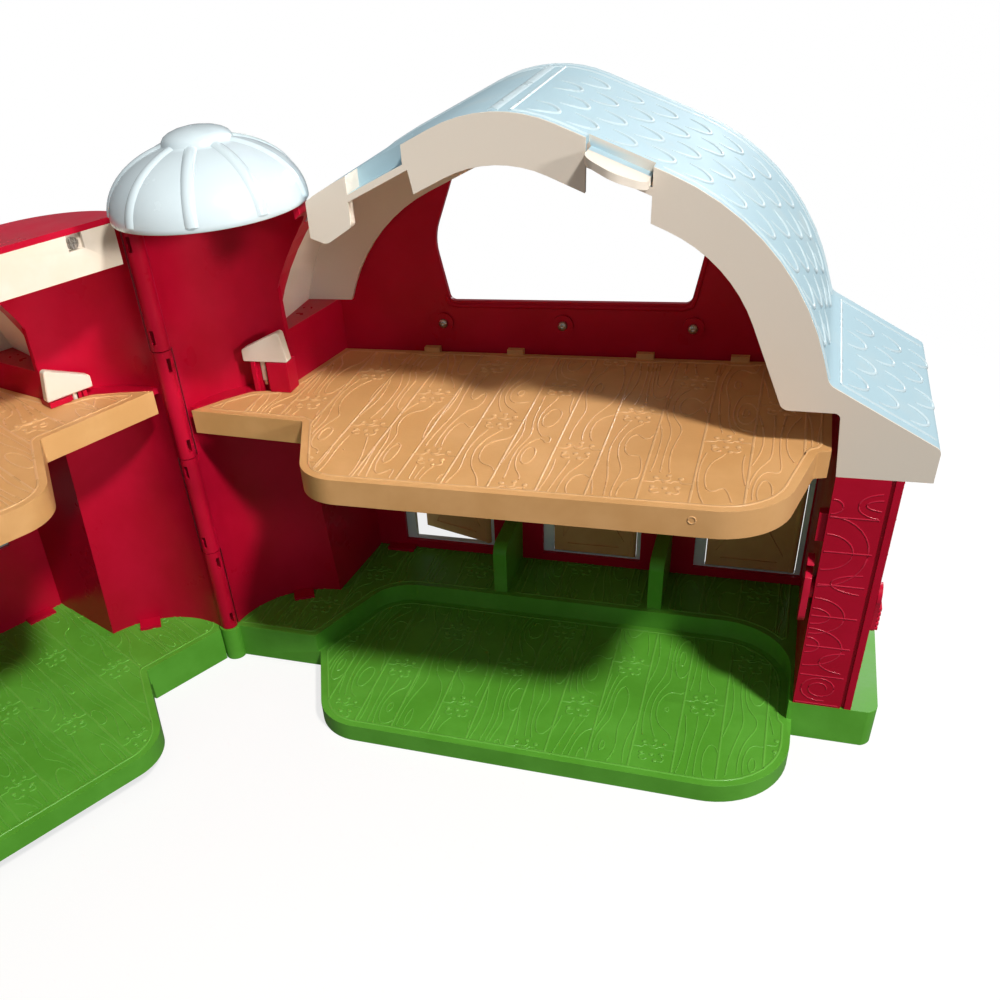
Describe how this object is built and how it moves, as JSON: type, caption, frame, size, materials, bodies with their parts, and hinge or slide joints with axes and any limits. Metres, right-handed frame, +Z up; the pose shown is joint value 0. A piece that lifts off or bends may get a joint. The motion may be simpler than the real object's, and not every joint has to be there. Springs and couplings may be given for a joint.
{
  "type": "folding toy barn",
  "caption": "Two-storey toy barn that hinges open beside its domed silo, with nesting trays and lofts, braced stall doors, barn doors, gable windows and a turn latch.",
  "frame": {"origin": "foot of the hinge line beside the silo, on the surface that the barn stands on", "axes": "+Z up the hinge pin, +X along the mating face of the right half, +Y to its back wall"},
  "size_m": [0.7109, 0.4971, 0.331],
  "materials": {
    "red_plastic": "gloss moulded crimson plastic",
    "bright_red_plastic": "gloss moulded bright red plastic",
    "white_plastic": "satin moulded white plastic",
    "cream_plastic": "satin moulded cream plastic",
    "tan_plastic": "satin moulded tan plastic with wood grain relief",
    "green_plastic": "satin moulded grass green plastic",
    "steel": "plated steel"
  },
  "bodies": {
    "right_half": {"base_right": "green_plastic", "back_wall_right": "red_plastic", "gable_right": "red_plastic", "end_wall_right": "red_plastic", "silo_wall_right": "red_plastic", "loft_floor_right": "tan_plastic", "roof_right": "white_plastic", "silo_dome": "white_plastic", "stall_frame_1": "white_plastic", "stall_frame_2": "white_plastic", "stall_frame_3": "white_plastic", "hinge_pin": "steel", "gable_screws_right": "steel"},
    "left_half": {"base_left": "green_plastic", "front_wall_left": "red_plastic", "gable_left": "red_plastic", "end_wall_left": "red_plastic", "silo_wall_left": "red_plastic", "loft_floor_left": "tan_plastic", "roof_left": "white_plastic", "silo_cap_left": "red_plastic", "silo_beam_left": "cream_plastic", "silo_beam_screw": "steel", "gable_screws_left": "steel", "barn_door_frame": "white_plastic", "window_frames": "white_plastic"},
    "stall_door_1": {"stall_door_1": "tan_plastic"},
    "stall_door_2": {"stall_door_2": "tan_plastic"},
    "stall_door_3": {"stall_door_3": "tan_plastic"},
    "closing_latch": {"closing_latch": "bright_red_plastic"},
    "lever_right": {"lever_right": "cream_plastic", "lever_screw_right": "steel"},
    "lever_left": {"lever_left": "cream_plastic", "lever_screw_left": "steel"},
    "barn_door_near": {"barn_door_near": "tan_plastic"},
    "barn_door_far": {"barn_door_far": "tan_plastic"}
  },
  "joints": [
    {"name": "main_hinge", "type": "hinge", "parent": "right_half", "child": "left_half", "pos_m": [0, 0, 0.1], "axis": [0, 0, 1], "range_deg": [-42, 118]},
    {"name": "stall_door_1_hinge", "type": "hinge", "parent": "right_half", "child": "stall_door_1", "pos_m": [0.1492, 0.1249, 0.07], "axis": [0, 0, -1], "range_deg": [-17.5, 82.5]},
    {"name": "stall_door_2_hinge", "type": "hinge", "parent": "right_half", "child": "stall_door_2", "pos_m": [0.2512, 0.1249, 0.07], "axis": [0, 0, -1], "range_deg": [0, 100]},
    {"name": "stall_door_3_hinge", "type": "hinge", "parent": "right_half", "child": "stall_door_3", "pos_m": [0.3532, 0.1249, 0.07], "axis": [0, 0, -1], "range_deg": [0, 100]},
    {"name": "barn_door_near_hinge", "type": "hinge", "parent": "left_half", "child": "barn_door_near", "pos_m": [-0.18436, -0.08069, 0.07], "axis": [0, 0, -1], "range_deg": [0, 100]},
    {"name": "barn_door_far_hinge", "type": "hinge", "parent": "left_half", "child": "barn_door_far", "pos_m": [-0.22774, -0.16228, 0.07], "axis": [0, 0, 1], "range_deg": [0, 100]},
    {"name": "lever_right_slide", "type": "slide", "parent": "right_half", "child": "lever_right", "axis": [0, 0, 1], "range_m": [0, 0.008]},
    {"name": "lever_left_slide", "type": "slide", "parent": "left_half", "child": "lever_left", "axis": [0, 0, 1], "range_m": [0, 0.008]},
    {"name": "latch_turn", "type": "hinge", "parent": "right_half", "child": "closing_latch", "pos_m": [0.37, 0.0075, 0.098], "axis": [1, 0, 0], "range_deg": [0, 90]}
  ]
}
